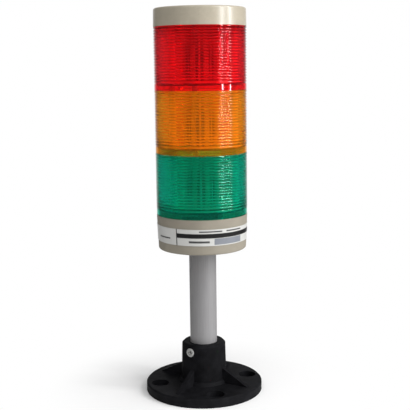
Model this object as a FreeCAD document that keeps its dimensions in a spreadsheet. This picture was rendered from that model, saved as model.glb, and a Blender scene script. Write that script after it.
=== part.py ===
"""Stack light: three bayonet lens modules on a pole with a round screw-down foot.

Millimetres, +Z up, the origin under the middle of the foot and the front towards -Y.  From the ground
up: a moulded foot, a tube, a beige housing, the green, amber and red modules and a beige cap.  Every
module is drawn once in its own frame, with its zero at the lower edge of its skirt, and a loop stacks
the three.  A joint between two tiers is always the same: the neck of the lower piece, with three
L-shaped slots, stands inside the skirt of the upper piece, whose three lugs run in the slots, and a
rubber ring is pressed between the top of the neck and the ledge of the upper piece.
"""
import FreeCAD, Part
import math
import os
import re
import Sketcher

SIZES = (
    # foot
    ("flange_radius", 45.5, "disc of the foot"),
    ("flange_height", 7.0, "thickness of the disc at its rim"),
    ("flange_edge", 1.0, "bevel round the top of the disc"),
    ("foot_wall", 3.0, "moulded walls of the foot"),
    ("boss_radius", 17.0, "outside of the boss at its top"),
    ("boss_flare", 0.7, "how much wider the boss is at the disc"),
    ("boss_top", 38.6, "height of the boss above the ground"),
    ("boss_crown", 1.6, "slope of the boss's top down to its edge"),
    ("boss_lead", 0.6, "lead-in of the boss's bore"),
    ("step_radius", 20.0, "step round the boss"),
    ("step_height", 2.8, "height of that step"),
    ("pole_seat", 6.0, "height of the ledge that the tube stands on"),
    ("foot_bore", 8.5, "radius of the way for the leads under the tube"),
    ("gusset_reach", 39.5, "radius where a gusset ends on the disc"),
    ("gusset_rise", 12.0, "height of a gusset on the boss"),
    ("gusset_width", 3.2, "thickness of a gusset"),
    ("gusset_count", 4, "gussets, and screw holes between them"),
    ("hole_circle", 35.5, "radius of the circle of the screw holes"),
    ("hole_radius", 2.8, "screw hole, for M5"),
    ("hole_sink", 6.8, "radius of the counterbore"),
    ("hole_floor", 3.0, "plastic left under the counterbore"),
    ("hole_turn", 14.0, "turn of the first screw hole from the front"),
    # set screw of the foot
    ("clamp_drop", 5.8, "top of the boss to the middle of the set screw"),
    ("clamp_turn", -38.0, "turn of the set screw from the front"),
    ("clamp_radius", 2.0, "M4 set screw"),
    ("clamp_socket", 1.15, "hexagon socket, radius of its inner circle"),
    ("clamp_depth", 2.0, "depth of the socket"),
    ("clamp_sink", 0.9, "end of the set screw under the face of the insert"),
    ("insert_radius", 3.4, "threaded insert in the boss"),
    ("insert_stand", 0.6, "how far the insert stands out of the boss"),
    ("insert_edge", 0.5, "round of the insert's outer edge"),
    ("screw_gap", 0.06, "clearance round a screw"),
    # tube
    ("pole_radius", 10.5, "outside of the tube"),
    ("pole_wall", 1.5, "wall of the tube"),
    ("pole_gap", 0.05, "clearance round the tube"),
    # housing
    ("housing_bottom", 114.0, "height of the underside of the housing"),
    ("housing_height", 26.5, "housing from its underside to its shoulder"),
    ("housing_inset", 0.2, "crest of the ribs to the housing at its shoulder"),
    ("housing_draft", 1.1, "how much narrower it is at its underside"),
    ("housing_edge", 1.2, "round of the lower edge"),
    ("housing_floor", 3.0, "floor of the housing"),
    ("socket_wall", 3.0, "wall of the socket that takes the tube"),
    ("socket_gap", 1.5, "top of that socket to the terminal board"),
    ("socket_lip", 1.6, "lip that stops the tube, inwards and upwards"),
    ("label_drop", 7.0, "shoulder of the housing to the top of the label"),
    ("label_height", 12.3, "height of the label"),
    ("label_thick", 0.2, "film of the label"),
    ("label_glue", 0.05, "glue under the film"),
    ("label_angle", 196.0, "how far the label goes round"),
    ("label_turn", -102.0, "turn of the label's left end from the front"),
    # bayonet joint between two tiers
    ("neck_inset", 2.0, "crest of the ribs to the outside of a neck"),
    ("neck_wall", 1.6, "wall of a neck"),
    ("neck_height", 4.0, "height of a neck above its shoulder"),
    ("neck_bevel", 0.5, "lead-in round the top of a neck"),
    ("bayonet_gap", 0.3, "clearance between neck and skirt, and round a lug"),
    ("lug_height", 1.5, "height of a lug"),
    ("lug_rise", 0.9, "lower edge of the skirt to the lug"),
    ("lug_reach", 1.2, "how far a lug stands in from the skirt"),
    ("lug_angle", 30.0, "how far a lug goes round"),
    ("lug_turn", -26.0, "turn of a lug's first end from the front, locked"),
    ("twist_angle", 22.0, "turn from locked to free"),
    ("slot_angle", 1.0, "turn from the end of a lug to the end of its slot"),
    ("lug_count", 3, "lugs of a joint"),
    ("seal_height", 0.8, "rubber ring between two tiers"),
    ("seal_inset", 0.3, "seal to the wall round it"),
    # lens
    ("lens_pitch", 47.0, "height of a module in the stack"),
    ("lens_radius", 35.0, "crest of the ribs"),
    ("skirt_height", 5.5, "smooth skirt under the ribs"),
    ("skirt_inset", 0.2, "crest of the ribs to the outside of the skirt"),
    ("rib_count", 20, "ribs of a lens"),
    ("rib_depth", 1.3, "depth of the grooves between ribs"),
    ("ledge_width", 1.0, "ledge inside a lens"),
    ("ledge_height", 1.0, "thickness of the ledge"),
    # carrier inside a lens
    ("plate_thick", 2.0, "disc of a carrier"),
    ("plate_gap", 0.3, "disc of a carrier to the lens"),
    ("tower_sides", 8, "sides of the lamp tower"),
    ("tower_turn", 20.0, "turn of a side of the tower from the front"),
    ("tower_flat", 11.0, "middle of the tower to its flats"),
    ("tower_wall", 1.6, "wall of the tower"),
    ("tower_height", 24.0, "height of the tower above the disc"),
    ("column_inset", 6.5, "outside of a neck to the circle of the contact columns"),
    ("column_radius", 2.4, "contact column"),
    ("column_turn", 70.0, "turn of the first column from the front"),
    ("column_count", 3, "contact columns of a module"),
    ("rod_radius", 1.2, "brass contact rod"),
    ("rod_gap", 0.05, "clearance round a rod in its column"),
    ("rod_stand", 0.8, "how far a rod stands out of its column"),
    ("finger_reach", 2.4, "how far a contact finger hangs under its carrier"),
    ("finger_width", 3.0, "width of a contact finger"),
    ("finger_thick", 0.4, "sheet of a contact finger"),
    ("board_width", 7.6, "lamp board"),
    ("board_thick", 1.2, "lamp board"),
    ("board_lift", 1.0, "ends of the tower to the ends of a lamp board"),
    ("lamp_width", 3.5, "lamp, square"),
    ("lamp_thick", 1.6, "lamp"),
    ("lamp_pitch", 5.4, "lamps on a board, middle to middle"),
    ("lamp_rows", 4, "lamps on a board"),
    # terminal board in the housing
    ("base_board_gap", 1.9, "terminal board to the neck round it"),
    ("base_board_thick", 1.6, "terminal board"),
    ("base_board_drop", 6.0, "shoulder of the housing to the board's underside"),
    ("pillar_inset", 8.5, "outside of the neck to the circle of the board's pillars"),
    ("pillar_radius", 3.0, "pillar under the board"),
    ("board_screw_radius", 1.5, "M3 screw"),
    ("board_screw_head", 2.75, "head of that screw"),
    ("board_screw_length", 8.0, "length of that screw under its head"),
    ("board_screw_top", 1.6, "height of that head"),
    ("terminal_length", 24.0, "terminal block"),
    ("terminal_width", 9.0, "terminal block"),
    ("terminal_height", 7.5, "terminal block"),
    ("terminal_count", 4, "ways of the terminal block"),
    ("terminal_bore", 1.5, "radius of a clamping screw's well"),
    # screw that holds the tube in the housing
    ("pole_screw_drop", 6.0, "top of the tube's socket to the screw"),
    ("pole_screw_radius", 1.5, "screw"),
    ("pole_screw_head", 2.75, "head of that screw"),
    ("pole_screw_top", 2.0, "height of that head"),
    # cap
    ("cap_height", 13.5, "cap from its lower edge to its top"),
    ("cap_inset", 0.1, "crest of the ribs to the cap at its lower edge"),
    ("cap_draft", 0.3, "how much narrower it is under its edge"),
    ("cap_edge", 1.6, "round of the top edge"),
    ("cap_wall", 2.2, "walls of the cap"),
    # making
    ("overrun", 1.0, "how far a cut runs past a face, or a joined form into its wall"),
)

TIERS = ("green", "amber", "red")
ROUGH_PLACE = 50.0               # where the corners of a sketch lie before its rules place them
ROUGH_SPREAD = 20.0

doc = FreeCAD.newDocument("stack_light")
sheet = doc.addObject("Spreadsheet::Sheet", "Sizes")
for row, (alias, value, meaning) in enumerate(SIZES, start=1):
    sheet.set("A%d" % row, str(value))
    sheet.set("B%d" % row, meaning)
    sheet.setAlias("A%d" % row, alias)
doc.recompute()

parts = []


def size(alias):
    """The number that the sheet holds under this name."""
    return float(sheet.get(alias))


def sized(formula):
    """A formula of size names and numbers, as an expression that reads the sheet."""
    names = [alias for alias, value, meaning in SIZES]
    return re.sub("[a-z][a-z_]+", lambda word: "Sizes." * (word.group() in names) + word.group(), formula)


# ---- features -------------------------------------------------------------------------------------

def new_body(label, lift="0", several=False):
    """A sub-part that is built up in its own frame and stands lift above the ground."""
    body = doc.addObject("PartDesign::Body", label)
    body.Label = label
    body.AllowCompound = several
    body.setExpression("Placement.Base.z", sized(lift))
    parts.append(body)
    return body


def origin_plane(body, role):
    return [item for item in body.Origin.OriginFeatures if item.Role == role][0]


def outline(body, name, role, corners, lift="0", turn="0"):
    """A closed sketch through corners, each a pair of formulas, on one of the body's own planes.

    lift moves an XY sketch up; turn swings either kind round the upright axis, from the front.
    """
    sketch = body.newObject("Sketcher::SketchObject", name)
    sketch.AttachmentSupport = (origin_plane(body, role), [""])
    sketch.MapMode = "FlatFace"
    if role == "XY_Plane":
        upright = FreeCAD.Rotation(FreeCAD.Vector(0, 0, 1), 1)
        sketch.AttachmentOffset = FreeCAD.Placement(FreeCAD.Vector(), upright)
        sketch.setExpression("AttachmentOffset.Rotation.Angle", sized(turn))
        sketch.setExpression("AttachmentOffset.Base.z", sized(lift))
    else:
        # unturned, the sketch's own X points along +X; a quarter turn back brings it to the front
        upright = FreeCAD.Rotation(FreeCAD.Vector(0, 1, 0), 1)
        sketch.AttachmentOffset = FreeCAD.Placement(FreeCAD.Vector(), upright)
        sketch.setExpression("AttachmentOffset.Rotation.Angle", sized("( " + turn + " ) - 90"))
    count = len(corners)
    turns = [step * math.tau / count for step in range(count)]
    ring = [FreeCAD.Vector(ROUGH_PLACE + ROUGH_SPREAD * math.cos(angle),
                           ROUGH_PLACE + ROUGH_SPREAD * math.sin(angle), 0) for angle in turns]
    sketch.addGeometry([Part.LineSegment(ring[side], ring[(side + 1) % count]) for side in range(count)])
    joins = [Sketcher.Constraint("Coincident", side, 2, (side + 1) % count, 1) for side in range(count)]
    sketch.addConstraint(joins)
    for corner, formulas in enumerate(corners):
        start = ring[corner]
        for kind, formula, rough in zip(("DistanceX", "DistanceY"), formulas, (start.x, start.y)):
            index = sketch.addConstraint(Sketcher.Constraint(kind, -1, 1, corner, 1, rough))
            sketch.renameConstraint(index, "%s%d" % (kind, corner))
            sketch.setExpression("Constraints.%s%d" % (kind, corner), sized(formula))
    return sketch


def circle(body, name, radius, across="0", along="0", lift="0"):
    """A circle in a level sketch."""
    sketch = body.newObject("Sketcher::SketchObject", name)
    sketch.AttachmentSupport = (origin_plane(body, "XY_Plane"), [""])
    sketch.MapMode = "FlatFace"
    sketch.setExpression("AttachmentOffset.Base.z", sized(lift))
    sketch.addGeometry(Part.Circle(FreeCAD.Vector(1, 1, 0), FreeCAD.Vector(0, 0, 1), 1))
    rules = (("Radius", Sketcher.Constraint("Radius", 0, 1), radius),
             ("Across", Sketcher.Constraint("DistanceX", -1, 1, 0, 3, 1), across),
             ("Along", Sketcher.Constraint("DistanceY", -1, 1, 0, 3, 1), along))
    for word, rule, formula in rules:
        sketch.renameConstraint(sketch.addConstraint(rule), word)
        sketch.setExpression("Constraints." + word, sized(formula))
    return sketch


def turned(body, kind, sketch, sweep="360"):
    """A Revolution or Groove of a sketch round the upright axis."""
    feature = body.newObject("PartDesign::" + kind, sketch.Name + "_" + kind.lower())
    feature.Profile = (sketch, [""])
    feature.ReferenceAxis = (sketch, ["V_Axis"])
    feature.setExpression("Angle", sized(sweep))
    return feature


def extruded(body, kind, sketch, length):
    """A Pad or Pocket of a sketch, to the side that the sketch faces."""
    feature = body.newObject("PartDesign::" + kind, sketch.Name + "_" + kind.lower())
    feature.Profile = (sketch, [""])
    feature.setExpression("Length", sized(length))
    feature.Reversed = kind == "Pocket"
    return feature


def repeated(body, feature, count):
    """Copies of a feature spread evenly round the upright axis."""
    pattern = body.newObject("PartDesign::PolarPattern", feature.Name + "_round")
    pattern.Originals = [feature]
    pattern.Axis = (origin_plane(body, "Z_Axis"), [""])
    pattern.Angle = 360
    pattern.setExpression("Occurrences", sized(count))
    body.Tip = pattern
    return pattern


def edges_at(feature, radius, height):
    """Names of the full circles of this radius at this height of a feature."""
    found = []
    for number, edge in enumerate(feature.Shape.Edges, start=1):
        if not isinstance(edge.Curve, Part.Circle):
            continue
        same = abs(edge.Curve.Radius - radius) < 0.01 and abs(edge.CenterOfMass.z - height) < 0.01
        if same:
            found.append("Edge%d" % number)
    return found


def rounded(body, feature, radius, height, amount):
    """A fillet on the outermost of the circles of one radius and height."""
    doc.recompute()
    names = edges_at(feature, radius, height)
    middles = {name: feature.Shape.getElement(name).CenterOfMass for name in names}
    outermost = max(names, key=lambda name: math.hypot(middles[name].x, middles[name].y))
    fillet = body.newObject("PartDesign::Fillet", feature.Name + "_fillet")
    fillet.Base = (feature, [outermost])
    fillet.setExpression("Radius", sized(amount))
    body.Tip = fillet
    return fillet


# ---- bayonet joint --------------------------------------------------------------------------------

NECK_RADIUS = "( lens_radius - neck_inset )"
SKIRT_BORE = NECK_RADIUS + " + bayonet_gap"
NECK_BORE = NECK_RADIUS + " - neck_wall"
SKIRT_DEPTH = "neck_height + seal_height"
LEDGE_TOP = "neck_height + seal_height + ledge_height"
LEDGE_BORE = NECK_BORE + " - ledge_width"


def neck_corners(shoulder):
    """The outside and top of a neck, from its shoulder up and over to its bore."""
    return [
        (NECK_RADIUS, shoulder),
        (NECK_RADIUS, shoulder + " + neck_height - neck_bevel"),
        (NECK_RADIUS + " - neck_bevel", shoulder + " + neck_height"),
        (NECK_BORE, shoulder + " + neck_height"),
    ]


def cut_slots(body, shoulder):
    """Three L-shaped slots through a neck: each opens at its top and runs round to the lug's rest."""
    inner = NECK_BORE + " - bayonet_gap"
    outer = NECK_RADIUS + " + bayonet_gap / 2"
    floor = shoulder + " + lug_rise - bayonet_gap"
    roof = shoulder + " + lug_rise + lug_height + bayonet_gap"
    above = shoulder + " + neck_height + neck_bevel"
    run = outline(body, "slot_run", "XZ_Plane",
                  [(inner, floor), (outer, floor), (outer, roof), (inner, roof)],
                  turn="lug_turn - slot_angle")
    run_cut = turned(body, "Groove", run, "lug_angle + twist_angle + 2 * slot_angle")
    repeated(body, run_cut, "lug_count")
    mouth = outline(body, "slot_mouth", "XZ_Plane",
                    [(inner, floor), (outer, floor), (outer, above), (inner, above)],
                    turn="lug_turn + twist_angle - slot_angle")
    mouth_cut = turned(body, "Groove", mouth, "lug_angle + 2 * slot_angle")
    repeated(body, mouth_cut, "lug_count")


def add_lugs(body):
    """Three lugs inside a skirt, where they rest in the slots of the neck below."""
    tip = SKIRT_BORE + " - lug_reach"
    root = SKIRT_BORE + " + lug_reach / 4"
    top = "lug_rise + lug_height"
    lug = outline(body, "lug", "XZ_Plane",
                  [(tip, "lug_rise"), (root, "lug_rise"), (root, top), (tip, top)], turn="lug_turn")
    repeated(body, turned(body, "Revolution", lug, "lug_angle"), "lug_count")


# ---- modules --------------------------------------------------------------------------------------

def tier_base(tier):
    """Height of the lower edge of a tier's skirt."""
    return "housing_bottom + housing_height + %d * lens_pitch" % tier


def build_lens(name, base):
    """Clear shell: ring ribs outside, smooth inside, with a ledge, a skirt with lugs and a slotted neck."""
    body = new_body(name + "_lens", base)
    ribs = int(size("rib_count"))
    pitch = "( lens_pitch - skirt_height ) / rib_count"
    skirt = "lens_radius - skirt_inset"
    wall = [(skirt, "0"), (skirt, "skirt_height - rib_depth / 3"),
            ("lens_radius - rib_depth", "skirt_height")]
    for rib in range(ribs):
        wall.append(("lens_radius", "skirt_height + %.1f * %s" % (rib + 0.5, pitch)))
        if rib + 1 < ribs:
            wall.append(("lens_radius - rib_depth", "skirt_height + %d * %s" % (rib + 1, pitch)))
    wall.append(("lens_radius - rib_depth / 3", "lens_pitch"))
    inside = [(NECK_BORE, LEDGE_TOP), (LEDGE_BORE, LEDGE_TOP), (LEDGE_BORE, SKIRT_DEPTH),
              (SKIRT_BORE, SKIRT_DEPTH), (SKIRT_BORE, "0")]
    section = outline(body, "section", "XZ_Plane", wall + neck_corners("lens_pitch") + inside)
    turned(body, "Revolution", section)
    add_lugs(body)
    cut_slots(body, "lens_pitch")


COLUMN_TOP = "lens_pitch + " + LEDGE_TOP + " - finger_reach - rod_stand"
COLUMN_CIRCLE = "( " + NECK_RADIUS + " - column_inset )"
COLUMN_ACROSS = COLUMN_CIRCLE + " * sin(column_turn)"
COLUMN_ALONG = "0 - " + COLUMN_CIRCLE + " * cos(column_turn)"
BOARD_HEIGHT = "( tower_height - 2 * board_lift )"


def box_outline(body, name, width, near, far, lift="0", turn="0"):
    """A level rectangle across the front; near and far are distances from the middle towards it."""
    left = "0 - " + width + " / 2"
    right = width + " / 2"
    near_side = "0 - ( " + near + " )"
    far_side = "0 - ( " + far + " )"
    corners = [(left, far_side), (right, far_side), (right, near_side), (left, near_side)]
    return outline(body, name, "XY_Plane", corners, lift=lift, turn=turn)


def tower_outline(body, name, flat, lift):
    """The level polygon of the lamp tower; flat is its inner circle."""
    corners = []
    for side in range(int(size("tower_sides"))):
        reach = "( " + flat + " ) / cos(180 / tower_sides)"
        angle = "(%.1f * 360 / tower_sides)" % (side + 0.5)
        corners.append((reach + " * sin" + angle, "0 - " + reach + " * cos" + angle))
    return outline(body, name, "XY_Plane", corners, lift=lift, turn="tower_turn")


def build_carrier(name, base):
    """White disc on the ledge of a lens, with the hollow lamp tower and the contact columns."""
    body = new_body(name + "_carrier", base)
    plate = circle(body, "plate", NECK_BORE + " - plate_gap", lift=LEDGE_TOP)
    extruded(body, "Pad", plate, "plate_thick")
    floor = LEDGE_TOP + " + plate_thick"
    tower = tower_outline(body, "tower", "tower_flat", floor)
    extruded(body, "Pad", tower, "tower_height")
    inside = tower_outline(body, "tower_inside", "tower_flat - tower_wall", LEDGE_TOP)
    extruded(body, "Pocket", inside, "plate_thick + tower_height")
    column = circle(body, "column", "column_radius", COLUMN_ACROSS, COLUMN_ALONG, lift=floor)
    column_pad = extruded(body, "Pad", column, COLUMN_TOP + " - ( " + floor + " )")
    repeated(body, column_pad, "column_count")
    bore = circle(body, "column_bore", "rod_radius + rod_gap", COLUMN_ACROSS, COLUMN_ALONG, lift=LEDGE_TOP)
    bore_cut = extruded(body, "Pocket", bore, COLUMN_TOP)
    repeated(body, bore_cut, "column_count")


def build_rods(label, base, foot, top):
    """Brass rods in the contact columns."""
    body = new_body(label, base, several=True)
    rod = circle(body, "rod", "rod_radius", COLUMN_ACROSS, COLUMN_ALONG, lift=foot)
    repeated(body, extruded(body, "Pad", rod, top + " - ( " + foot + " )"), "column_count")


def build_fingers(name, base):
    """Bronze leaves under a carrier that press on the rods of the tier below."""
    body = new_body(name + "_contact_fingers", base, several=True)
    outer = LEDGE_BORE + " - plate_gap"
    inner = "2 * " + COLUMN_CIRCLE + " - ( " + outer + " )"
    under = LEDGE_TOP + " - finger_thick"
    low = LEDGE_TOP + " - finger_reach"
    near = COLUMN_CIRCLE + " - rod_radius"
    far = COLUMN_CIRCLE + " + 2 * rod_radius"
    leaf = [(inner, LEDGE_TOP), (inner, under), (near, low), (far, low), (far, low + " + finger_thick"),
            (near + " + finger_thick", low + " + finger_thick"), (inner + " + 2 * finger_thick", under),
            (outer, under), (outer, LEDGE_TOP)]
    sketch = outline(body, "leaf", "XZ_Plane", leaf, turn="column_turn")
    strip = extruded(body, "Pad", sketch, "finger_width")
    strip.Midplane = True
    repeated(body, strip, "column_count")


def build_boards(name, base):
    """Lamp boards on the flats of the tower."""
    body = new_body(name + "_lamp_boards", base, several=True)
    sketch = box_outline(body, "board", "board_width", "tower_flat", "tower_flat + board_thick",
                         lift=LEDGE_TOP + " + plate_thick + board_lift", turn="tower_turn")
    repeated(body, extruded(body, "Pad", sketch, BOARD_HEIGHT), "tower_sides")


def build_lamps(name, base):
    """Square surface-mounted lamps, in rows up the lamp boards."""
    body = new_body(name + "_lamps", base, several=True)
    face = "tower_flat + board_thick"
    middle = LEDGE_TOP + " + plate_thick + tower_height / 2"
    rows = []
    count = int(size("lamp_rows"))
    for row in range(count):
        lift = middle + " + %.1f * lamp_pitch - lamp_width / 2" % (row - (count - 1) / 2)
        sketch = box_outline(body, "lamp%d" % row, "lamp_width", face, face + " + lamp_thick",
                             lift=lift, turn="tower_turn")
        rows.append(extruded(body, "Pad", sketch, "lamp_width"))
    pattern = repeated(body, rows[0], "tower_sides")
    pattern.Originals = rows


def build_seal(name, base):
    """Rubber ring between the neck below and the ledge above."""
    body = new_body(name + "_seal", base)
    inner = NECK_BORE
    outer = SKIRT_BORE + " - seal_inset"
    ring = [(inner, "neck_height"), (outer, "neck_height"), (outer, SKIRT_DEPTH), (inner, SKIRT_DEPTH)]
    turned(body, "Revolution", outline(body, "ring", "XZ_Plane", ring))


def build_module(name, base):
    build_lens(name, base)
    build_carrier(name, base)
    build_rods(name + "_contact_rods", base, LEDGE_TOP, COLUMN_TOP + " + rod_stand")
    build_fingers(name, base)
    build_boards(name, base)
    build_lamps(name, base)
    build_seal(name, base)


# ---- cap ------------------------------------------------------------------------------------------

def build_cap(base):
    """Beige cover with a skirt and lugs of its own."""
    body = new_body("top_cap", base)
    side = "lens_radius - cap_inset"
    hollow = side + " - cap_draft - cap_wall"
    corners = [(SKIRT_BORE, "0"), (side, "0"), (side + " - cap_draft", "cap_height"),
               ("0", "cap_height"), ("0", "cap_height - cap_wall"), (hollow, "cap_height - cap_wall"),
               (hollow, LEDGE_TOP), (LEDGE_BORE, LEDGE_TOP), (LEDGE_BORE, SKIRT_DEPTH),
               (SKIRT_BORE, SKIRT_DEPTH)]
    shell = turned(body, "Revolution", outline(body, "section", "XZ_Plane", corners))
    top_radius = size("lens_radius") - size("cap_inset") - size("cap_draft")
    rounded(body, shell, top_radius, size("cap_height"), "cap_edge")
    add_lugs(body)
    build_seal("cap", base)


# ---- housing --------------------------------------------------------------------------------------

HOUSING_RADIUS = "( lens_radius - housing_inset )"
POLE_BORE = "pole_radius + pole_gap"
BOARD_UNDER = "housing_height - base_board_drop"
SOCKET_TOP = BOARD_UNDER + " - socket_gap"
POLE_SCREW_HEIGHT = SOCKET_TOP + " - pole_screw_drop"
PILLAR_TURN = "( column_turn + 180 / column_count )"
PILLAR_CIRCLE = "( " + NECK_RADIUS + " - pillar_inset )"
PILLAR_ACROSS = PILLAR_CIRCLE + " * sin" + PILLAR_TURN
PILLAR_ALONG = "0 - " + PILLAR_CIRCLE + " * cos" + PILLAR_TURN


def radial(body, name, radius, height, turn, start):
    """A circle that faces outwards at a turn from the front, start away from the upright axis."""
    sketch = body.newObject("Sketcher::SketchObject", name)
    face_out(body, sketch, turn, start)
    sketch.addGeometry(Part.Circle(FreeCAD.Vector(0, 1, 0), FreeCAD.Vector(0, 0, 1), 1))
    rules = (("Radius", Sketcher.Constraint("Radius", 0, 1), radius),
             ("Across", Sketcher.Constraint("DistanceX", -1, 1, 0, 3, 1), "0"),
             ("Height", Sketcher.Constraint("DistanceY", -1, 1, 0, 3, 1), height))
    for word, rule, formula in rules:
        sketch.renameConstraint(sketch.addConstraint(rule), word)
        sketch.setExpression("Constraints." + word, sized(formula))
    return sketch


def face_out(body, sketch, turn, start):
    """Sets a sketch upright across a radius: its normal points outwards at a turn from the front."""
    sketch.AttachmentSupport = (origin_plane(body, "XZ_Plane"), [""])
    sketch.MapMode = "FlatFace"
    upright = FreeCAD.Rotation(FreeCAD.Vector(0, 1, 0), 1)
    sketch.AttachmentOffset = FreeCAD.Placement(FreeCAD.Vector(), upright)
    sketch.setExpression("AttachmentOffset.Rotation.Angle", sized(turn))
    sketch.setExpression("AttachmentOffset.Base.x", sized("( " + start + " ) * sin( " + turn + " )"))
    sketch.setExpression("AttachmentOffset.Base.z", sized("( " + start + " ) * cos( " + turn + " )"))


def housing_side(drop):
    """Outside of the tapered housing, drop under its shoulder."""
    return HOUSING_RADIUS + " - housing_draft * ( " + drop + " ) / housing_height"


def build_housing():
    """Tapered shell with a socket for the tube, three pillars and a slotted neck."""
    body = new_body("base_housing", "housing_bottom")
    lip = "pole_radius - socket_lip"
    corners = [(POLE_BORE, "0"), (HOUSING_RADIUS + " - housing_draft", "0"),
               (HOUSING_RADIUS, "housing_height")]
    corners += neck_corners("housing_height")
    corners += [(NECK_BORE, "housing_floor"), (POLE_BORE + " + socket_wall", "housing_floor"),
                (POLE_BORE + " + socket_wall", SOCKET_TOP), (lip, SOCKET_TOP),
                (lip, SOCKET_TOP + " - socket_lip"), (POLE_BORE, SOCKET_TOP + " - socket_lip")]
    shell = turned(body, "Revolution", outline(body, "section", "XZ_Plane", corners))
    low_radius = size("lens_radius") - size("housing_inset") - size("housing_draft")
    rounded(body, shell, low_radius, 0, "housing_edge")
    pillar = circle(body, "pillar", "pillar_radius", PILLAR_ACROSS, PILLAR_ALONG,
                    lift="housing_floor - overrun")
    pillar_pad = extruded(body, "Pad", pillar, BOARD_UNDER + " - housing_floor + overrun")
    repeated(body, pillar_pad, "column_count")
    well = circle(body, "pillar_bore", "board_screw_radius + screw_gap", PILLAR_ACROSS, PILLAR_ALONG,
                  lift=BOARD_UNDER + " - board_screw_length")
    well_cut = extruded(body, "Pocket", well, "board_screw_length + overrun")
    repeated(body, well_cut, "column_count")
    hole = radial(body, "pole_screw_hole", "pole_screw_radius + screw_gap", POLE_SCREW_HEIGHT, "180",
                  "pole_radius - pole_wall")
    body.Tip = extruded(body, "Pocket", hole, "pole_wall + socket_wall + overrun")
    cut_slots(body, "housing_height")


def build_label():
    """Film round the tapered side of the housing."""
    body = new_body("rating_label", "housing_bottom")
    top = "housing_height - label_drop"
    low = top + " - label_height"
    top_side = housing_side("label_drop")
    low_side = housing_side("label_drop + label_height")
    film = [(low_side + " + label_glue", low), (low_side + " + label_glue + label_thick", low),
            (top_side + " + label_glue + label_thick", top), (top_side + " + label_glue", top)]
    sketch = outline(body, "film", "XZ_Plane", film, turn="label_turn")
    turned(body, "Revolution", sketch, "label_angle")


def build_base_board():
    """Terminal board on the pillars, with its screws, terminal block, columns and rods."""
    top = BOARD_UNDER + " + base_board_thick"
    board = new_body("base_board", "housing_bottom")
    disc = circle(board, "disc", NECK_BORE + " - base_board_gap", lift=BOARD_UNDER)
    extruded(board, "Pad", disc, "base_board_thick")
    hole = circle(board, "screw_hole", "board_screw_radius + screw_gap", PILLAR_ACROSS, PILLAR_ALONG,
                  lift=BOARD_UNDER + " - overrun")
    repeated(board, extruded(board, "Pocket", hole, "base_board_thick + 2 * overrun"), "column_count")

    screws = new_body("board_screws", "housing_bottom", several=True)
    shank = circle(screws, "shank", "board_screw_radius", PILLAR_ACROSS, PILLAR_ALONG,
                   lift=top + " - board_screw_length")
    head = circle(screws, "head", "board_screw_head", PILLAR_ACROSS, PILLAR_ALONG, lift=top)
    pattern = [extruded(screws, "Pad", shank, "board_screw_length + board_screw_top / 2"),
               extruded(screws, "Pad", head, "board_screw_top")]
    repeated(screws, pattern[0], "column_count").Originals = pattern

    block = new_body("terminal_block", "housing_bottom")
    shape = box_outline(block, "block", "terminal_length", "0 - terminal_width / 2", "terminal_width / 2",
                        lift=top)
    extruded(block, "Pad", shape, "terminal_height")
    ways = int(size("terminal_count"))
    for way in range(ways):
        across = "terminal_length * %.4f" % ((way + 0.5) / ways - 0.5)
        well = circle(block, "well%d" % way, "terminal_bore", across, "0",
                      lift=top + " + terminal_height / 2")
        block.Tip = extruded(block, "Pocket", well, "terminal_height")

    shoulder = " + housing_height"
    columns = new_body("base_columns", "housing_bottom", several=True)
    column_top = LEDGE_TOP + " - finger_reach - rod_stand" + shoulder
    column = circle(columns, "column", "column_radius", COLUMN_ACROSS, COLUMN_ALONG, lift=top)
    repeated(columns, extruded(columns, "Pad", column, column_top + " - ( " + top + " )"), "column_count")
    bore = circle(columns, "bore", "rod_radius + rod_gap", COLUMN_ACROSS, COLUMN_ALONG,
                  lift=top + " - overrun")
    repeated(columns, extruded(columns, "Pocket", bore, "housing_height"), "column_count")
    build_rods("base_contact_rods", "housing_bottom", top, column_top + " + rod_stand")


# ---- tube and foot --------------------------------------------------------------------------------

POLE_TOP = "housing_bottom + " + SOCKET_TOP + " - socket_lip"
CLAMP_HEIGHT = "( boss_top - clamp_drop )"
INSERT_START = POLE_BORE + " + overrun"


def build_pole():
    """Tube from the ledge of the foot to the lip in the housing's socket."""
    body = new_body("pole", "pole_seat")
    length = POLE_TOP + " - pole_seat"
    extruded(body, "Pad", circle(body, "outside", "pole_radius"), length)
    inside = circle(body, "inside", "pole_radius - pole_wall")
    extruded(body, "Pocket", inside, length)
    height = "housing_bottom + " + POLE_SCREW_HEIGHT + " - pole_seat"
    hole = radial(body, "screw_hole", "pole_screw_radius + screw_gap", height, "180",
                  "pole_radius - 2 * pole_wall")
    body.Tip = extruded(body, "Pocket", hole, "3 * pole_wall")


def build_pole_screw():
    """Screw through the wall of the socket into the tube."""
    body = new_body("pole_screw", "housing_bottom")
    start = "( pole_radius - 1.5 * pole_wall )"
    shank = radial(body, "shank", "pole_screw_radius", POLE_SCREW_HEIGHT, "180", start)
    outside = POLE_BORE + " + socket_wall"
    extruded(body, "Pad", shank, outside + " - " + start + " + pole_screw_top / 2")
    head = radial(body, "head", "pole_screw_head", POLE_SCREW_HEIGHT, "180", outside)
    extruded(body, "Pad", head, "pole_screw_top")


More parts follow.
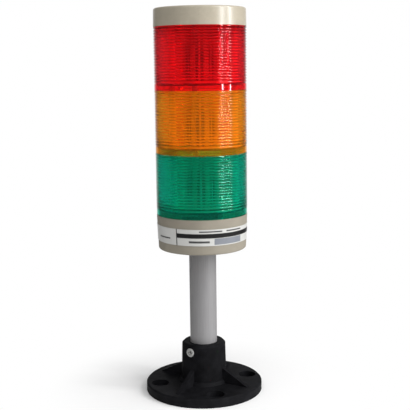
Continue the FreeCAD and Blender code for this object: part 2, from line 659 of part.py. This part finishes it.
def build_set_screw():
    """Threaded insert in the boss of the foot, and the socket screw in it that holds the tube."""
    face = "boss_radius + boss_flare * clamp_drop / ( boss_top - flange_height ) + insert_stand"
    insert = new_body("set_screw_insert")
    ring = radial(insert, "ring", "insert_radius", CLAMP_HEIGHT, "clamp_turn", INSERT_START)
    ring_pad = extruded(insert, "Pad", ring, face + " - ( " + INSERT_START + " )")
    rounded(insert, ring_pad, size("insert_radius"), size("boss_top") - size("clamp_drop"), "insert_edge")
    hole = radial(insert, "thread", "clamp_radius + screw_gap", CLAMP_HEIGHT, "clamp_turn", POLE_BORE)
    insert.Tip = extruded(insert, "Pocket", hole, "boss_radius")

    screw = new_body("set_screw")
    end = face + " - clamp_sink"
    shank = radial(screw, "shank", "clamp_radius", CLAMP_HEIGHT, "clamp_turn", "pole_radius")
    extruded(screw, "Pad", shank, end + " - pole_radius")
    socket = screw.newObject("Sketcher::SketchObject", "socket")
    face_out(screw, socket, "clamp_turn", end + " - clamp_depth")
    reach = "clamp_socket * %.6f" % (1 / math.cos(math.pi / 6))
    for side in range(6):
        socket.addGeometry(Part.LineSegment(FreeCAD.Vector(side, 1, 0), FreeCAD.Vector(side + 1, 1, 0)))
    for side in range(6):
        socket.addConstraint(Sketcher.Constraint("Coincident", side, 2, (side + 1) % 6, 1))
        angle = math.radians(60 * side)
        for kind, formula in (("DistanceX", reach + " * %.6f" % math.cos(angle)),
                              ("DistanceY", CLAMP_HEIGHT + " + " + reach + " * %.6f" % math.sin(angle))):
            index = socket.addConstraint(Sketcher.Constraint(kind, -1, 1, side, 1, 1))
            socket.renameConstraint(index, "%s%d" % (kind, side))
            socket.setExpression("Constraints.%s%d" % (kind, side), sized(formula))
    screw.Tip = extruded(screw, "Pocket", socket, "clamp_depth + overrun")


def build_foot():
    """Moulded foot: disc hollow underneath, tapered boss, gussets, and sunk screw holes between them."""
    body = new_body("foot")
    deck = "flange_height - foot_wall"
    rim = "flange_radius - foot_wall"
    hub = "foot_bore + 2 * foot_wall"
    step = "flange_height + step_height"
    corners = [
        ("foot_bore", "0"),
        (hub, "0"),
        (hub, deck),
        (rim, deck),
        (rim, "0"),
        ("flange_radius", "0"),
        ("flange_radius", "flange_height - flange_edge"),
        ("flange_radius - flange_edge", "flange_height"),
        ("step_radius", "flange_height"),
        ("step_radius - step_height / 2", step),
        ("boss_radius + boss_flare", step),
        ("boss_radius", "boss_top - boss_crown"),
        ("boss_radius - boss_crown", "boss_top"),
        (POLE_BORE + " + boss_lead", "boss_top"),
        (POLE_BORE, "boss_top - boss_lead"),
        (POLE_BORE, "pole_seat"),
        ("foot_bore", "pole_seat"),
    ]
    turned(body, "Revolution", outline(body, "section", "XZ_Plane", corners))

    gusset_turn = "hole_turn + 180 / gusset_count"
    root = "boss_radius - overrun"
    under = "flange_height - overrun"
    rise = [(root, under), ("gusset_reach", under), ("gusset_reach", "flange_height"),
            ("boss_radius + boss_flare / 2", "flange_height + gusset_rise"),
            (root, "flange_height + gusset_rise")]
    profile = outline(body, "gusset", "XZ_Plane", rise, turn=gusset_turn)
    gusset = extruded(body, "Pad", profile, "gusset_width")
    gusset.Midplane = True
    repeated(body, gusset, "gusset_count")
    inner = hub + " - overrun"
    outer = rim + " + overrun"
    spoke = [(inner, "0"), (outer, "0"), (outer, deck + " + overrun"), (inner, deck + " + overrun")]
    profile = outline(body, "web", "XZ_Plane", spoke, turn=gusset_turn)
    web = extruded(body, "Pad", profile, "foot_wall")
    web.Midplane = True
    repeated(body, web, "gusset_count")

    across = "hole_circle * sin(hole_turn)"
    along = "0 - hole_circle * cos(hole_turn)"
    pad = circle(body, "hole_pad", "hole_sink + foot_wall / 2", across, along)
    repeated(body, extruded(body, "Pad", pad, deck + " + overrun"), "gusset_count")
    sink = circle(body, "hole_sinking", "hole_sink", across, along, lift="hole_floor")
    repeated(body, extruded(body, "Pocket", sink, "flange_height"), "gusset_count")
    hole = circle(body, "hole", "hole_radius", across, along, lift="0 - overrun")
    repeated(body, extruded(body, "Pocket", hole, "flange_height + 2 * overrun"), "gusset_count")
    seat = radial(body, "insert_seat", "insert_radius", CLAMP_HEIGHT, "clamp_turn", INSERT_START)
    body.Tip = extruded(body, "Pocket", seat, "boss_radius")
    way = radial(body, "screw_way", "clamp_radius + screw_gap", CLAMP_HEIGHT, "clamp_turn", "pole_radius")
    body.Tip = extruded(body, "Pocket", way, "foot_wall")


# ---- the whole light ------------------------------------------------------------------------------

build_foot()
build_set_screw()
build_pole()
build_pole_screw()
build_housing()
build_label()
build_base_board()
for tier, colour in enumerate(TIERS):
    build_module(colour, tier_base(tier))
build_cap(tier_base(len(TIERS)))
doc.recompute()

failed = [item.Label for item in doc.Objects if "Invalid" in item.State or "Error" in item.State]
if failed:
    raise RuntimeError("these failed to build: " + ", ".join(failed))
for part in parts:
    if part.Shape.isNull() or not part.Shape.isValid():
        raise RuntimeError(part.Label + " has no valid shape")

os.makedirs("parts", exist_ok=True)
for part in parts:
    part.Shape.exportStep("parts/" + part.Label + ".step")
    print("%-24s %d solid(s) %10.1f mm3" % (part.Label, len(part.Shape.Solids), part.Shape.Volume))
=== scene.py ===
"""Looks of the stack light: clear tinted lenses, finishes, unlettered label, floor, light and camera."""
import bpy
import math
from mathutils import Matrix, Vector


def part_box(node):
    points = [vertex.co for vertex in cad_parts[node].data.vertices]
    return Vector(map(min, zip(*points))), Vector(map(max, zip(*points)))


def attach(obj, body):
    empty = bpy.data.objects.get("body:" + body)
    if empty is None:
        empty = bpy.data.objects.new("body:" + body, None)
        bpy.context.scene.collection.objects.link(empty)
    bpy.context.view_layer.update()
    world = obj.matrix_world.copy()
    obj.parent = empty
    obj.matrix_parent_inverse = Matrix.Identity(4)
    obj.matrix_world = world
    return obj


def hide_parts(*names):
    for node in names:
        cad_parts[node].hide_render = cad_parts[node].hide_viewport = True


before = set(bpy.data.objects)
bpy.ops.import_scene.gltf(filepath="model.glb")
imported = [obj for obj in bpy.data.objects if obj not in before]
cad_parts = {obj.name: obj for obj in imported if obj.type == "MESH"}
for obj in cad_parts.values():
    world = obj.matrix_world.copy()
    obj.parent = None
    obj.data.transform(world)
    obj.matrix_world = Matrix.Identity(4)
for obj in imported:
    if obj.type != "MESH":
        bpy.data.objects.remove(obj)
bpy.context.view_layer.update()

MM = 0.001
TIERS = ("green", "amber", "red")


# ---- nodes of a material or of the world ----------------------------------------------------------

NOISE_ROUGHNESS = 0.55
SHADE_EDGES = (0.3, 0.7)         # noise below which a surface has its dark shade, and above which its light


def new_material(name):
    """A material that is only a shader and its output; returns it, its tree and its shader."""
    material = bpy.data.materials.new(name)
    material.use_nodes = True
    tree = material.node_tree
    tree.nodes.clear()
    output = tree.nodes.new("ShaderNodeOutputMaterial")
    shader = tree.nodes.new("ShaderNodeBsdfPrincipled")
    tree.links.new(shader.outputs["BSDF"], output.inputs["Surface"])
    return material, tree, shader


def feed(tree, socket, value):
    """Gives a socket a link or a number."""
    if isinstance(value, (int, float)):
        socket.default_value = value
    else:
        tree.links.new(value, socket)


def coordinates(tree, scale=(1, 1, 1)):
    """Object coordinates in metres, times scale."""
    source = tree.nodes.new("ShaderNodeTexCoord")
    mapping = tree.nodes.new("ShaderNodeMapping")
    mapping.inputs["Scale"].default_value = scale
    tree.links.new(source.outputs["Object"], mapping.inputs["Vector"])
    return mapping.outputs["Vector"]


def noise(tree, vector, scale, detail):
    """Noise from 0 to 1, with scale grains to a metre."""
    node = tree.nodes.new("ShaderNodeTexNoise")
    node.inputs["Scale"].default_value = scale
    node.inputs["Detail"].default_value = detail
    node.inputs["Roughness"].default_value = NOISE_ROUGHNESS
    tree.links.new(vector, node.inputs["Vector"])
    return node.outputs["Fac"]


def shades(tree, value, dark, light):
    """The colour between dark and light at a value."""
    node = tree.nodes.new("ShaderNodeValToRGB")
    for element, place, colour in zip(node.color_ramp.elements, SHADE_EDGES, (dark, light)):
        element.position = place
        element.color = (*colour, 1)
    tree.links.new(value, node.inputs["Fac"])
    return node.outputs["Color"]


def spread(tree, value, low, high):
    """A value from 0 to 1 mapped to low to high, which are links or numbers."""
    node = tree.nodes.new("ShaderNodeMapRange")
    feed(tree, node.inputs["To Min"], low)
    feed(tree, node.inputs["To Max"], high)
    tree.links.new(value, node.inputs["Value"])
    return node.outputs["Result"]


def smooth_range(tree, value, start, end):
    """0 up to start, 1 from end on, with a soft change between them."""
    node = tree.nodes.new("ShaderNodeMapRange")
    node.interpolation_type = "SMOOTHSTEP"
    node.inputs["From Min"].default_value = start
    node.inputs["From Max"].default_value = end
    tree.links.new(value, node.inputs["Value"])
    return node.outputs["Result"]


def calculated(tree, operation, first, second):
    """A Math node's result for two links or numbers."""
    node = tree.nodes.new("ShaderNodeMath")
    node.operation = operation
    feed(tree, node.inputs[0], first)
    feed(tree, node.inputs[1], second)
    return node.outputs["Value"]


def bump(tree, shader, height, depth):
    """Relief on the surface, depth metres deep."""
    node = tree.nodes.new("ShaderNodeBump")
    node.inputs["Strength"].default_value = 1.0
    node.inputs["Distance"].default_value = depth
    tree.links.new(height, node.inputs["Height"])
    tree.links.new(node.outputs["Normal"], shader.inputs["Normal"])


# ---- materials ------------------------------------------------------------------------------------

PATCH_GRAINS = 12                # grains across a patch of shade on moulded plastic
ROUGHNESS_SPREAD = 0.08          # up and down, from grain to grain
CLEAR_IOR = 1.5
SCUFF_GRAIN = 900
SCUFF_ROUGHNESS = (0.02, 0.06)
TUBE_DARK = (0.30, 0.295, 0.30)
TUBE_LIGHT = (0.345, 0.34, 0.345)
TUBE_GRAIN = 2500
TUBE_STRETCH = (1, 1, 0.02)      # draws the grain out along the tube
TUBE_ROUGHNESS = (0.42, 0.55)
TUBE_METALLIC = 0.25
TUBE_DEPTH = 0.00002


def moulded(name, dark, light, grain, roughness, depth, metallic=0.0, gloss=0.5):
    """Moulded plastic or plated metal: two close shades in soft patches, and a fine grain in the
    surface, of grain grains to a metre and depth metres deep."""
    material, tree, shader = new_material(name)
    place = coordinates(tree)
    patches = noise(tree, place, grain / PATCH_GRAINS, detail=4)
    tree.links.new(shades(tree, patches, dark, light), shader.inputs["Base Color"])
    fine = noise(tree, place, grain, detail=6)
    uneven = spread(tree, fine, roughness - ROUGHNESS_SPREAD, roughness + ROUGHNESS_SPREAD)
    tree.links.new(uneven, shader.inputs["Roughness"])
    shader.inputs["Metallic"].default_value = metallic
    shader.inputs["Specular IOR Level"].default_value = gloss
    bump(tree, shader, fine, depth)
    return material


def clear(name, colour, haze):
    """Tinted clear plastic; haze is the share of light that it scatters like a solid."""
    material, tree, shader = new_material(name)
    shader.inputs["Base Color"].default_value = (*colour, 1)
    shader.inputs["IOR"].default_value = CLEAR_IOR
    shader.inputs["Transmission Weight"].default_value = 1 - haze
    scuffs = noise(tree, coordinates(tree), SCUFF_GRAIN, detail=3)
    tree.links.new(spread(tree, scuffs, *SCUFF_ROUGHNESS), shader.inputs["Roughness"])
    return material


def drawn_tube(name):
    """Satin grey anodised tube with faint marks along it."""
    material, tree, shader = new_material(name)
    marks = noise(tree, coordinates(tree, TUBE_STRETCH), TUBE_GRAIN, detail=3)
    tree.links.new(shades(tree, marks, TUBE_DARK, TUBE_LIGHT), shader.inputs["Base Color"])
    tree.links.new(spread(tree, marks, *TUBE_ROUGHNESS), shader.inputs["Roughness"])
    shader.inputs["Metallic"].default_value = TUBE_METALLIC
    bump(tree, shader, marks, TUBE_DEPTH)
    return material


FOOT_BLACK = moulded("foot_black", (0.004, 0.004, 0.005), (0.010, 0.010, 0.012),
                     grain=1400, roughness=0.7, depth=0.00006, gloss=0.1)
HOUSING_BEIGE = moulded("housing_beige", (0.27, 0.245, 0.198), (0.30, 0.272, 0.22),
                        grain=900, roughness=0.62, depth=0.00002, gloss=0.3)
# the cap's beige is lighter than the housing's: partly the cap's own tone, partly painted light for the
# stronger light that falls on the top of the stack
CAP_BEIGE_AND_PAINTED_LIGHT = moulded("cap_beige_and_painted_light", (0.43, 0.385, 0.30), (0.47, 0.42, 0.33),
                    grain=4000, roughness=0.28, depth=0.000002, gloss=0.9)
ZINC = moulded("zinc", (0.55, 0.55, 0.54), (0.75, 0.75, 0.73),
               grain=1500, roughness=0.3, depth=0.00001, metallic=0.6)
BRASS = moulded("brass_metal", (0.52, 0.36, 0.12), (0.66, 0.47, 0.18),
                grain=900, roughness=0.3, depth=0.00001, metallic=1.0)
INNER_WHITE = moulded("inner_white", (0.87, 0.87, 0.85), (0.92, 0.92, 0.90),
                      grain=600, roughness=0.45, depth=0.00001)
BOARD = moulded("board_lacquer", (0.14, 0.16, 0.14), (0.18, 0.20, 0.17),
                grain=500, roughness=0.35, depth=0.00001)
TERMINAL = moulded("terminal_green", (0.03, 0.16, 0.07), (0.05, 0.20, 0.09),
                   grain=600, roughness=0.45, depth=0.00001)
RUBBER = moulded("seal_rubber", (0.015, 0.015, 0.015), (0.03, 0.03, 0.03),
                 grain=800, roughness=0.7, depth=0.00002)
LAMP = moulded("lamp_face", (0.80, 0.77, 0.60), (0.88, 0.85, 0.70),
               grain=700, roughness=0.25, depth=0.00001)
TUBE = drawn_tube("tube_grey")
PAPER = moulded("label_white", (0.55, 0.55, 0.53), (0.60, 0.60, 0.58),
                grain=700, roughness=0.35, depth=0.00001)
INK = moulded("label_black", (0.01, 0.01, 0.01), (0.02, 0.02, 0.02),
              grain=700, roughness=0.35, depth=0.00001)
PRINT_GREY = moulded("label_dark_grey", (0.06, 0.06, 0.06), (0.09, 0.09, 0.09),
                     grain=700, roughness=0.35, depth=0.00001)
FIELD = moulded("label_grey", (0.20, 0.215, 0.245), (0.24, 0.255, 0.285),
                grain=700, roughness=0.35, depth=0.00001)
LENS = {
    "red": clear("lens_red", (0.97, 0.03, 0.045), haze=0.06),
    "amber": clear("lens_amber", (0.995, 0.41, 0.02), haze=0.10),
    "green": clear("lens_green", (0.004, 0.53, 0.35), haze=0.06),
}


# ---- dressing the CAD nodes -----------------------------------------------------------------------

SHARP_EDGE = 30                  # degrees between two faces, from which their edge is left sharp

FINISH = {
    "foot": FOOT_BLACK, "set_screw_insert": ZINC, "set_screw": ZINC, "pole": TUBE, "pole_screw": ZINC,
    "base_housing": HOUSING_BEIGE, "top_cap": CAP_BEIGE_AND_PAINTED_LIGHT, "rating_label": PAPER, "base_board": BOARD,
    "board_screws": ZINC, "terminal_block": TERMINAL, "base_columns": INNER_WHITE,
    "base_contact_rods": BRASS, "cap_seal": RUBBER,
}
TIER_FINISH = {
    "carrier": INNER_WHITE, "contact_rods": BRASS, "contact_fingers": BRASS, "lamp_boards": BOARD,
    "lamps": LAMP, "seal": RUBBER,
}


def shade(mesh, sharp=SHARP_EDGE):
    """Smooth shading, with sharp edges where two faces meet at more than sharp degrees."""
    mesh.shade_smooth()
    mesh.set_sharp_from_angle(angle=math.radians(sharp))


def dress(node, material):
    """Gives a CAD node its material and shading."""
    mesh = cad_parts[node].data
    mesh.materials.clear()
    mesh.materials.append(material)
    shade(mesh)


for node, material in FINISH.items():
    dress(node, material)
for tier in TIERS:
    for part, material in TIER_FINISH.items():
        dress(tier + "_" + part, material)


# ---- making objects and skins ---------------------------------------------------------------------

TURN_STEPS = 360                 # steps in a full turn: one to a degree, so that lugs and slots end on one
SIDES = (                        # the way to a cell's neighbour, and the corners of the face towards it
    ((1, 0, 0), ((1, 0, 0), (1, 0, 1), (1, 1, 1), (1, 1, 0))),
    ((-1, 0, 0), ((0, 0, 1), (0, 0, 0), (0, 1, 0), (0, 1, 1))),
    ((0, 1, 0), ((0, 1, 0), (1, 1, 0), (1, 1, 1), (0, 1, 1))),
    ((0, -1, 0), ((0, 0, 1), (1, 0, 1), (1, 0, 0), (0, 0, 0))),
    ((0, 0, 1), ((0, 0, 1), (0, 1, 1), (1, 1, 1), (1, 0, 1))),
    ((0, 0, -1), ((0, 0, 0), (1, 0, 0), (1, 1, 0), (0, 1, 0))),
)


def add(name, data):
    """A new object in the scene."""
    new = bpy.data.objects.new(name, data)
    bpy.context.scene.collection.objects.link(new)
    return new


def ring_point(radius, turn, height):
    """The point at a radius and height in metres, turned from the front by degrees."""
    turn = math.radians(turn)
    return radius * math.sin(turn), -radius * math.cos(turn), height


def skin(name, cells, place):
    """A closed mesh round solid cells. A cell is (band, row, step), counted outwards, upwards and round
    the turn, and place(band, row, step) gives the point at a cell's inner, lower, first corner."""
    solid = set(cells)
    points, index, faces = [], {}, []
    for band, row, step in cells:
        for (out, up, on), corners in SIDES:
            if (band + out, row + up, (step + on) % TURN_STEPS) in solid:
                continue
            face = []
            for across, above, ahead in corners:
                key = (band + across, row + above, (step + ahead) % TURN_STEPS)
                if key not in index:
                    index[key] = len(points)
                    points.append(place(*key))
                face.append(index[key])
            faces.append(face)
    mesh = bpy.data.meshes.new(name)
    mesh.from_pydata(points, [], faces)
    return mesh


# ---- lenses: sizes in millimetres and degrees, heights from the lower edge of the skirt ------------

RIBS = 20
RIB_STEPS = 6
LENS_RADIUS = 35.0
RIB_DEPTH = 1.3
TOP_RIB_DEPTH = RIB_DEPTH / 3    # at the upper side of the last rib, where the lens ends in a shoulder
SKIRT_RADIUS = 34.8
SKIRT_HEIGHT = 5.5
SKIRT_BEVEL = 0.3
SKIRT_SLOPE = 0.5                # height of the slope from the skirt into the first groove
PITCH = 47.0
RIB_PITCH = (PITCH - SKIRT_HEIGHT) / RIBS
NECK_RADIUS = 33.0
NECK_HEIGHT = 4.0
NECK_BEVEL = 0.5
NECK_TOP = PITCH + NECK_HEIGHT
INNER_RADIUS = 31.4
LEDGE_BORE = 30.4
LEDGE = (4.8, 5.8)               # its lower and upper face
SKIRT_BORE = 33.3
LUGS = 3
LUG_SPACING = TURN_STEPS // LUGS
LUG = (0.9, 2.4)                 # its lower and upper face
LUG_REACH = 1.2
LUG_TURN = -26
LUG_SWEEP = 30
TWIST = 22
GAP = 0.3                        # between a lug and the slot that it runs in, below and above
SLOT = (PITCH + LUG[0] - GAP, PITCH + LUG[1] + GAP)
SLOT_MARGIN = 1                  # between a lug and the slot's ends, in degrees
LENS_SHARP_EDGE = 40
LEDGE_BAND, INNER_BAND, OUTER_BAND = range(3)


def rib_radius(height):
    """Outside of the ribbed wall: half-round crests with sharp grooves between them."""
    ribs_below = (height - SKIRT_HEIGHT) / RIB_PITCH
    depth = RIB_DEPTH if ribs_below < RIBS - 0.5 else TOP_RIB_DEPTH
    across = 2 * (ribs_below - min(math.floor(ribs_below), RIBS - 1)) - 1
    return LENS_RADIUS - depth * (1 - math.sqrt(max(0.0, 1 - across * across)))


def lens_levels():
    """Heights of the rings of points on the lens, from its skirt up."""
    skirt = [0.0, SKIRT_BEVEL, *LUG, *LEDGE, SKIRT_HEIGHT - SKIRT_SLOPE]
    ribbed = [SKIRT_HEIGHT + RIB_PITCH * (rib + 0.5 - 0.5 * math.cos(math.pi * step / RIB_STEPS))
              for rib in range(RIBS) for step in range(RIB_STEPS)]
    neck = [PITCH, *SLOT, NECK_TOP - NECK_BEVEL, NECK_TOP]
    return sorted(set(skirt + ribbed + neck))


def lens_radii(height):
    """Radii at a height: the ledge's bore, the inside, the skirt's bore or the neck, and the outside."""
    inside = SKIRT_BORE - LUG_REACH if LUG[0] <= height <= LUG[1] else INNER_RADIUS
    middle = SKIRT_BORE if height < PITCH else NECK_RADIUS
    if height == NECK_TOP:
        middle = NECK_RADIUS - NECK_BEVEL
    if height < SKIRT_HEIGHT:
        outside = SKIRT_RADIUS - (SKIRT_BEVEL if height == 0 else 0)
    else:
        outside = rib_radius(min(height, PITCH))
    return LEDGE_BORE, inside, middle, outside


def within(degree, start, sweep):
    """True if the step at this degree lies in the sweep, at one of the three lugs."""
    return (degree - start) % LUG_SPACING < sweep


def is_lens(band, height, degree):
    """True if the lens is solid in this band between two of its radii, at this height and degree."""
    if band == LEDGE_BAND:
        return LEDGE[0] < height < LEDGE[1]
    if band == OUTER_BAND:
        return height < PITCH
    if height < LEDGE[0]:
        return LUG[0] < height < LUG[1] and within(degree, LUG_TURN, LUG_SWEEP)
    if height < SLOT[0]:
        return True
    slot_sweep = LUG_SWEEP + 2 * SLOT_MARGIN
    if height < SLOT[1] and within(degree, LUG_TURN - SLOT_MARGIN, slot_sweep + TWIST):
        return False
    return not within(degree, LUG_TURN - SLOT_MARGIN + TWIST, slot_sweep)


def lens_mesh():
    """The lens in metres, from the lower edge of its skirt."""
    levels = lens_levels()
    cells = [(band, row, degree) for band in (LEDGE_BAND, INNER_BAND, OUTER_BAND)
             for row in range(len(levels) - 1) for degree in range(TURN_STEPS)
             if is_lens(band, (levels[row] + levels[row + 1]) / 2, degree)]

    def place(band, row, degree):
        return ring_point(lens_radii(levels[row])[band] * MM, degree, levels[row] * MM)

    mesh = skin("lens", cells, place)
    mesh.validate()
    shade(mesh, LENS_SHARP_EDGE)
    return mesh


shared_lens = lens_mesh()
for tier in TIERS:
    mesh = shared_lens.copy()
    mesh.materials.append(LENS[tier])
    lens = add("clear_lens_" + tier, mesh)
    lens.location.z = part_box(tier + "_lens")[0].z
    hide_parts(tier + "_lens")
    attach(lens, tier + "_module")


# ---- label ----------------------------------------------------------------------------------------

HOUSING_TAPER = 1.1              # millimetres off the housing's radius, from its shoulder to its bottom
PRINT_LIFTS = (0.25, 0.31)       # inner and outer face of the print, in millimetres from the housing
PRINT_STEP = 2                   # degrees

PRINT = {                        # left and right in degrees from the front, low and high as in printed()
    "label_stripe": (-33, 94, 0.47, 0.74, INK),
    "label_divider": (-34.2, -33, 0.0, 1.0, INK),
    "label_field": (15, 56, 0.06, 0.44, FIELD),
    "label_bar_long": (-4, 25, 0.83, 0.91, PRINT_GREY),
    "label_bar_short": (31, 55, 0.83, 0.91, PRINT_GREY),
    "label_bar_low": (-17, 9, 0.18, 0.30, PRINT_GREY),
    "label_bar_left": (-66, -44, 0.34, 0.42, PRINT_GREY),
}

housing_low, housing_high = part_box("base_housing")
housing_shoulder = housing_high.z - NECK_HEIGHT * MM
label_low, label_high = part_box("rating_label")


def housing_radius(height):
    """Outside of the tapered housing, in millimetres, at a height in metres."""
    down = (housing_shoulder - height) / (housing_shoulder - housing_low.z)
    return SKIRT_RADIUS - HOUSING_TAPER * down


def printed(name, left, right, low, high, material):
    """A patch of print on the label, with its low and high edge as shares of the label's height."""
    steps = max(2, int((right - left) / PRINT_STEP))

    def place(layer, edge, step):
        height = label_low.z + (label_high.z - label_low.z) * (low, high)[edge]
        radius = (housing_radius(height) + PRINT_LIFTS[layer]) * MM
        return ring_point(radius, left + (right - left) * step / steps, height)

    mesh = skin(name, [(0, 0, step) for step in range(steps)], place)
    mesh.materials.append(material)
    shade(mesh)
    patch = add(name, mesh)
    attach(patch, "base")


for name, patch in PRINT.items():
    printed(name, *patch)


# ---- floor and backdrop ---------------------------------------------------------------------------

FLOOR_HALF = 0.5
FLOOR_COLOUR = (0.86, 0.86, 0.86, 1)
FLOOR_ROUGHNESS = 0.9
FLOOR_GLOSS = 0.1
FLOOR_FADE = (0.04, 0.13)        # metres from the middle of the foot
BACKDROP_EDGE = (0.75, 1.0)      # from 0 at the sides to 1 straight behind the object
MIRRORED_ROOM = 0.06             # the room in front of the object, in glossy surfaces


def backdrop(tree, depth, lit, through=1.0):
    """Brightness of the surroundings: plain white for the camera and, behind the object, in glossy
    surfaces; a dim room mirrored from in front; through for light that passes through the lenses, and
    lit for all other light."""
    path = tree.nodes.new("ShaderNodeLightPath")
    behind = smooth_range(tree, depth, *BACKDROP_EDGE)
    mirrored = spread(tree, behind, MIRRORED_ROOM, 1.0)
    level = spread(tree, path.outputs["Is Glossy Ray"], lit, mirrored)
    level = spread(tree, path.outputs["Is Transmission Ray"], level, through)
    return spread(tree, path.outputs["Is Camera Ray"], level, 1.0)


def floor_material():
    """Pale diffuse floor that keeps the shadow near the object and turns plain white further out."""
    material, tree, shader = new_material("floor_white")
    shader.inputs["Base Color"].default_value = FLOOR_COLOUR
    shader.inputs["Roughness"].default_value = FLOOR_ROUGHNESS
    shader.inputs["Specular IOR Level"].default_value = FLOOR_GLOSS
    source = tree.nodes.new("ShaderNodeTexCoord")
    length = tree.nodes.new("ShaderNodeVectorMath")
    length.operation = "LENGTH"
    tree.links.new(source.outputs["Object"], length.inputs[0])
    axes = tree.nodes.new("ShaderNodeSeparateXYZ")
    tree.links.new(source.outputs["Object"], axes.inputs["Vector"])
    depth = calculated(tree, "DIVIDE", axes.outputs["Y"], length.outputs["Value"])
    glow = tree.nodes.new("ShaderNodeEmission")
    tree.links.new(backdrop(tree, depth, 1.0), glow.inputs["Strength"])
    path = tree.nodes.new("ShaderNodeLightPath")
    seen = calculated(tree, "MAXIMUM", path.outputs["Is Camera Ray"], path.outputs["Is Transmission Ray"])
    seen = calculated(tree, "MAXIMUM", seen, path.outputs["Is Glossy Ray"])
    away = smooth_range(tree, length.outputs["Value"], *FLOOR_FADE)
    mix = tree.nodes.new("ShaderNodeMixShader")
    tree.links.new(calculated(tree, "MULTIPLY", seen, away), mix.inputs["Fac"])
    tree.links.new(shader.outputs["BSDF"], mix.inputs[1])
    tree.links.new(glow.outputs["Emission"], mix.inputs[2])
    output = next(node for node in tree.nodes if node.type == "OUTPUT_MATERIAL")
    tree.links.new(mix.outputs["Shader"], output.inputs["Surface"])
    return material


def build_floor():
    """The square floor under the object."""
    corners = [(-FLOOR_HALF, -FLOOR_HALF, 0), (FLOOR_HALF, -FLOOR_HALF, 0),
               (FLOOR_HALF, FLOOR_HALF, 0), (-FLOOR_HALF, FLOOR_HALF, 0)]
    mesh = bpy.data.meshes.new("floor")
    mesh.from_pydata(corners, [], [(0, 1, 2, 3)])
    mesh.materials.append(floor_material())
    floor = add("floor", mesh)


# ---- light: turns from the front and elevations in degrees ----------------------------------------

ROOM_LIGHT = 0.33
KEY_PLACE = (20, 55)             # turn and elevation of the soft key light
KEY_EDGE = (0.6, 1.0)            # cosine of the angle from its middle, at its faint edge and its middle
KEY_LIGHT = 1.5
KEY_INSIDE = 5.0                 # the same light where it falls through the lenses on what is inside
STRIPS = {"strip_near": 55.5, "strip_far": 78.5}
STRIP_ELEVATION = 15
STRIP_DISTANCE = 1.2
STRIP_SIZE = (0.08, 1.2)
STRIP_POWER = 8.5
STRIP_AIM = 0.43                 # height above the floor, on the object's axis, that a strip faces


def direction(turn, elevation):
    """Unit vector from the object, turned from its front and raised."""
    turn, elevation = math.radians(turn), math.radians(elevation)
    level = math.cos(elevation)
    return Vector((math.sin(turn) * level, -math.cos(turn) * level, math.sin(elevation)))


def build_world():
    """Soft dim light all round, a soft key light, and the plain white backdrop."""
    world = bpy.data.worlds.new("studio")
    bpy.context.scene.world = world
    world.use_nodes = True
    tree = world.node_tree
    tree.nodes.clear()
    output = tree.nodes.new("ShaderNodeOutputWorld")
    light = tree.nodes.new("ShaderNodeBackground")
    light.inputs["Color"].default_value = (1, 1, 1, 1)
    source = tree.nodes.new("ShaderNodeTexCoord")
    axes = tree.nodes.new("ShaderNodeSeparateXYZ")
    tree.links.new(source.outputs["Generated"], axes.inputs["Vector"])
    toward = tree.nodes.new("ShaderNodeVectorMath")
    toward.operation = "DOT_PRODUCT"
    toward.inputs[1].default_value = direction(*KEY_PLACE)
    tree.links.new(source.outputs["Generated"], toward.inputs[0])
    key = smooth_range(tree, toward.outputs["Value"], *KEY_EDGE)
    lit = spread(tree, key, ROOM_LIGHT, ROOM_LIGHT + KEY_LIGHT)
    path = tree.nodes.new("ShaderNodeLightPath")
    scattered = calculated(tree, "MINIMUM", path.outputs["Diffuse Depth"], 1.0)
    inside = calculated(tree, "MULTIPLY", key, scattered)
    through = spread(tree, inside, 1.0, 1.0 + KEY_INSIDE)
    tree.links.new(backdrop(tree, axes.outputs["Y"], lit, through), light.inputs["Strength"])
    tree.links.new(light.outputs["Background"], output.inputs["Surface"])


def build_strip(name, turn):
    """A tall narrow lamp, whose reflection is a column of light dashes on the ribs."""
    data = bpy.data.lights.new(name, "AREA")
    data.shape = "RECTANGLE"
    data.size, data.size_y = STRIP_SIZE
    data.energy = STRIP_POWER
    back = direction(turn, STRIP_ELEVATION)
    lamp = add(name, data)
    lamp.location = Vector((0, 0, STRIP_AIM)) + back * STRIP_DISTANCE
    lamp.rotation_mode = "QUATERNION"
    lamp.rotation_quaternion = back.to_track_quat("Z", "Y")


# ---- camera: metres and degrees -------------------------------------------------------------------

CAMERA_DISTANCE = 0.6642         # from the object's axis, in front of it
CAMERA_HEIGHT = 0.2530
CAMERA_PITCH = 9.105             # downwards
CAMERA_ROLL = -0.711
CAMERA_YAW = 0.201
CAMERA_LENS = 76.66              # millimetres
CAMERA_SENSOR = 36.0             # millimetres


def build_camera():
    """The camera, at the height of the red lens and looking a little down."""
    pitch, roll, yaw = (math.radians(angle) for angle in (CAMERA_PITCH, CAMERA_ROLL, CAMERA_YAW))
    ahead = Vector((math.sin(yaw) * math.cos(pitch), math.cos(yaw) * math.cos(pitch), -math.sin(pitch)))
    right = Vector((math.cos(yaw), -math.sin(yaw), 0))
    up = right.cross(ahead)
    across = right * math.cos(roll) + up * math.sin(roll)
    upward = up * math.cos(roll) - right * math.sin(roll)
    data = bpy.data.cameras.new("camera")
    data.sensor_width = CAMERA_SENSOR
    data.lens = CAMERA_LENS
    camera = add("camera", data)
    turn = Matrix((across, upward, -ahead)).transposed()
    camera.matrix_world = Matrix.Translation((0, -CAMERA_DISTANCE, CAMERA_HEIGHT)) @ turn.to_4x4()
    bpy.context.scene.camera = camera


build_floor()
build_world()
for name, turn in STRIPS.items():
    build_strip(name, turn)
build_camera()
bpy.context.scene.view_settings.view_transform = "Standard"
